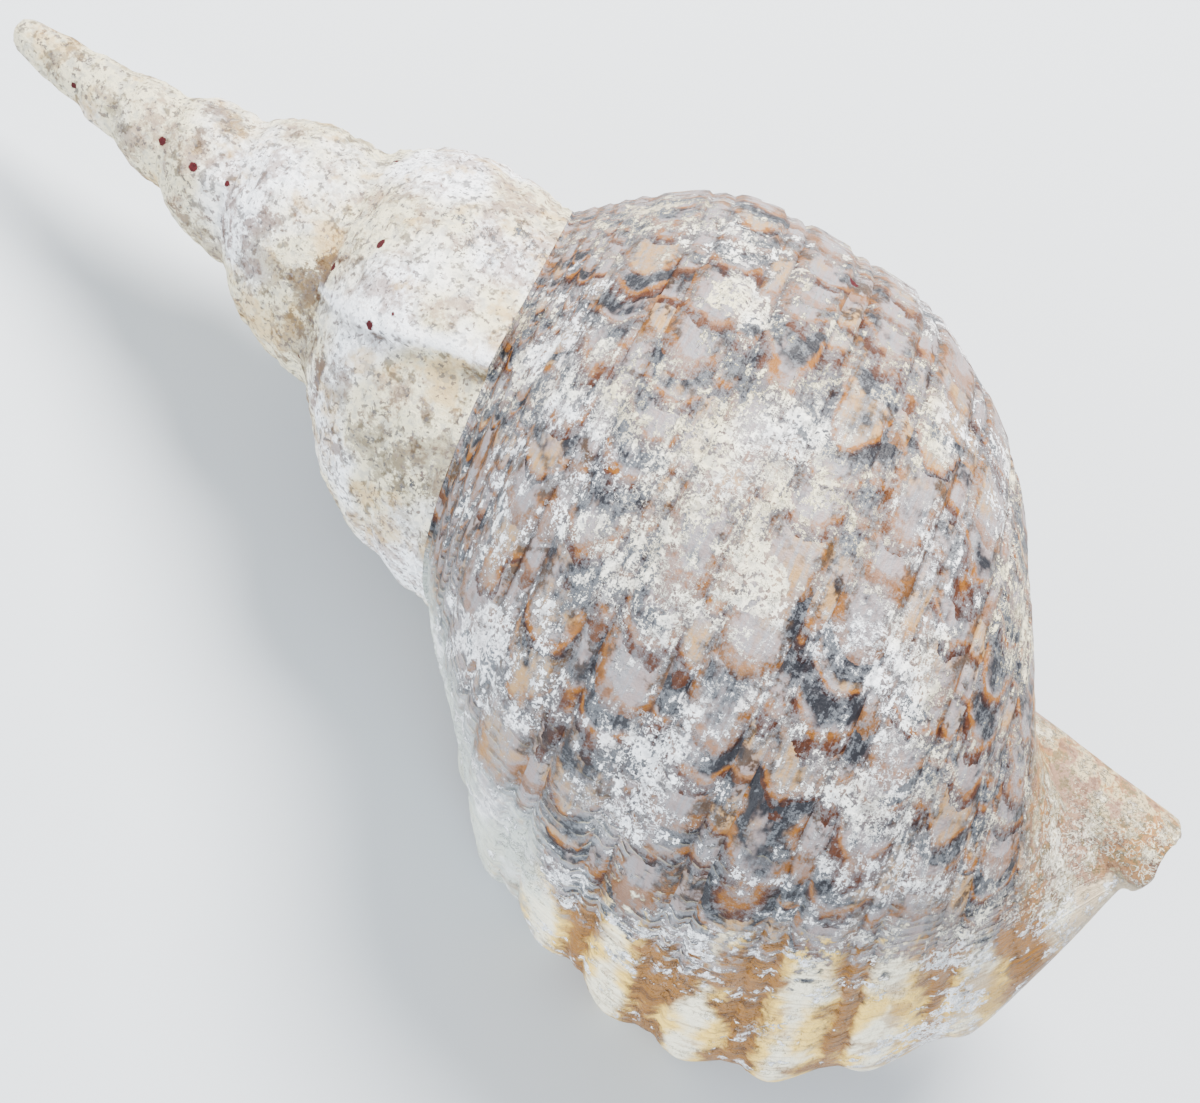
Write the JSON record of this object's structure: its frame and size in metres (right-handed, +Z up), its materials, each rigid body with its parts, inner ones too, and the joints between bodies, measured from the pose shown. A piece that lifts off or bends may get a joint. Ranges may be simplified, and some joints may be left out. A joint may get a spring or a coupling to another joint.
{
  "type": "giant triton shell",
  "caption": "Large worn spiral seashell lying on its aperture: tall spire, swollen last whorl with low spiral cords, flared scalloped lip and a short canal.",
  "frame": {"origin": "centre of the bounding box's footprint, at the table", "axes": "+X from the apex towards the siphonal canal, +Z up, lip on the -Y side"},
  "size_m": [0.3726, 0.1816, 0.1617],
  "materials": {
    "shell": "chalky, worn shell with brown crescents and lime crust, glossier at the lip"
  },
  "bodies": {
    "root": {"triton_shell": "shell"}
  },
  "joints": []
}
